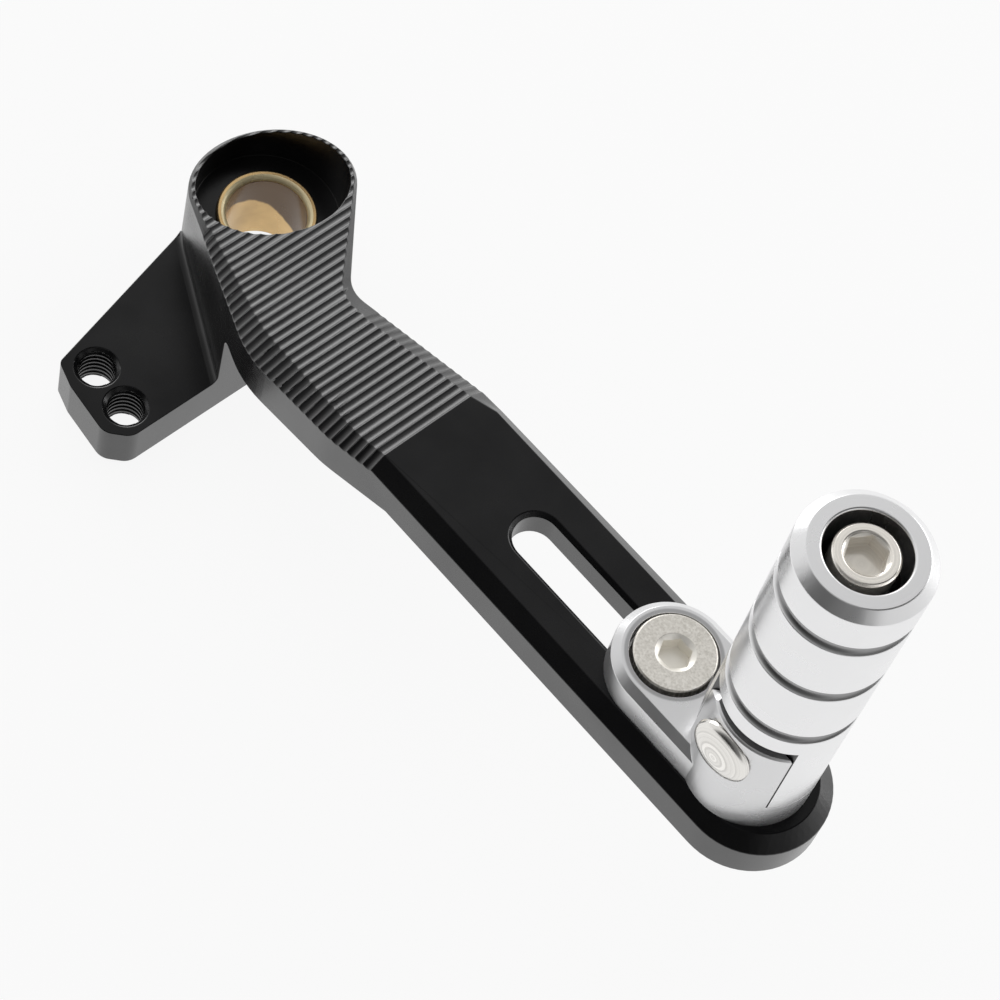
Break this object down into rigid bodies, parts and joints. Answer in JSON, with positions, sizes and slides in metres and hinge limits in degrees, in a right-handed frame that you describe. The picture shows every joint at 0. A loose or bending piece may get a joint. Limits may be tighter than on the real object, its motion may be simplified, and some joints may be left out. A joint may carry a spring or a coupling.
{
  "type": "gear lever extender",
  "caption": "Cranked gear lever arm with a bushed pivot boss, a rod lug and a slotted end that carries a sliding, folding toe peg.",
  "frame": {"origin": "on the pivot axis, in the plane of the boss's back face", "axes": "+Z along the pivot axis towards the side the peg stands on, +X along the arm's slot away from the pivot"},
  "size_m": [0.1715, 0.0644, 0.1237],
  "materials": {
    "black_anodised": "black anodised, machined",
    "silver_anodised": "clear anodised, fine matt",
    "bronze": "turned",
    "plated_steel": "zinc plated",
    "stainless_steel": "turned, bright",
    "spring_steel": "plain"
  },
  "bodies": {
    "lever": {"lever_arm": "black_anodised", "pivot_bush": "bronze"},
    "slider": {"peg_base": "silver_anodised", "slot_bolt": "plated_steel", "slot_nut": "plated_steel"},
    "peg": {"peg_barrel": "silver_anodised", "fold_pin": "stainless_steel", "pin_clip": "spring_steel", "spring_screw": "stainless_steel", "peg_spring": "spring_steel"}
  },
  "joints": [
    {"name": "peg_slide", "type": "slide", "parent": "lever", "child": "slider", "axis": [1, 0, 0], "range_m": [-0.0313, 0.0024]},
    {"name": "peg_fold", "type": "hinge", "parent": "slider", "child": "peg", "pos_m": [0.1401, -0.0215, 0.0686], "axis": [0, -1, 0], "range_deg": [0, 75], "stiffness_Nm_per_rad": 0.6, "springref_deg": -34.38}
  ]
}
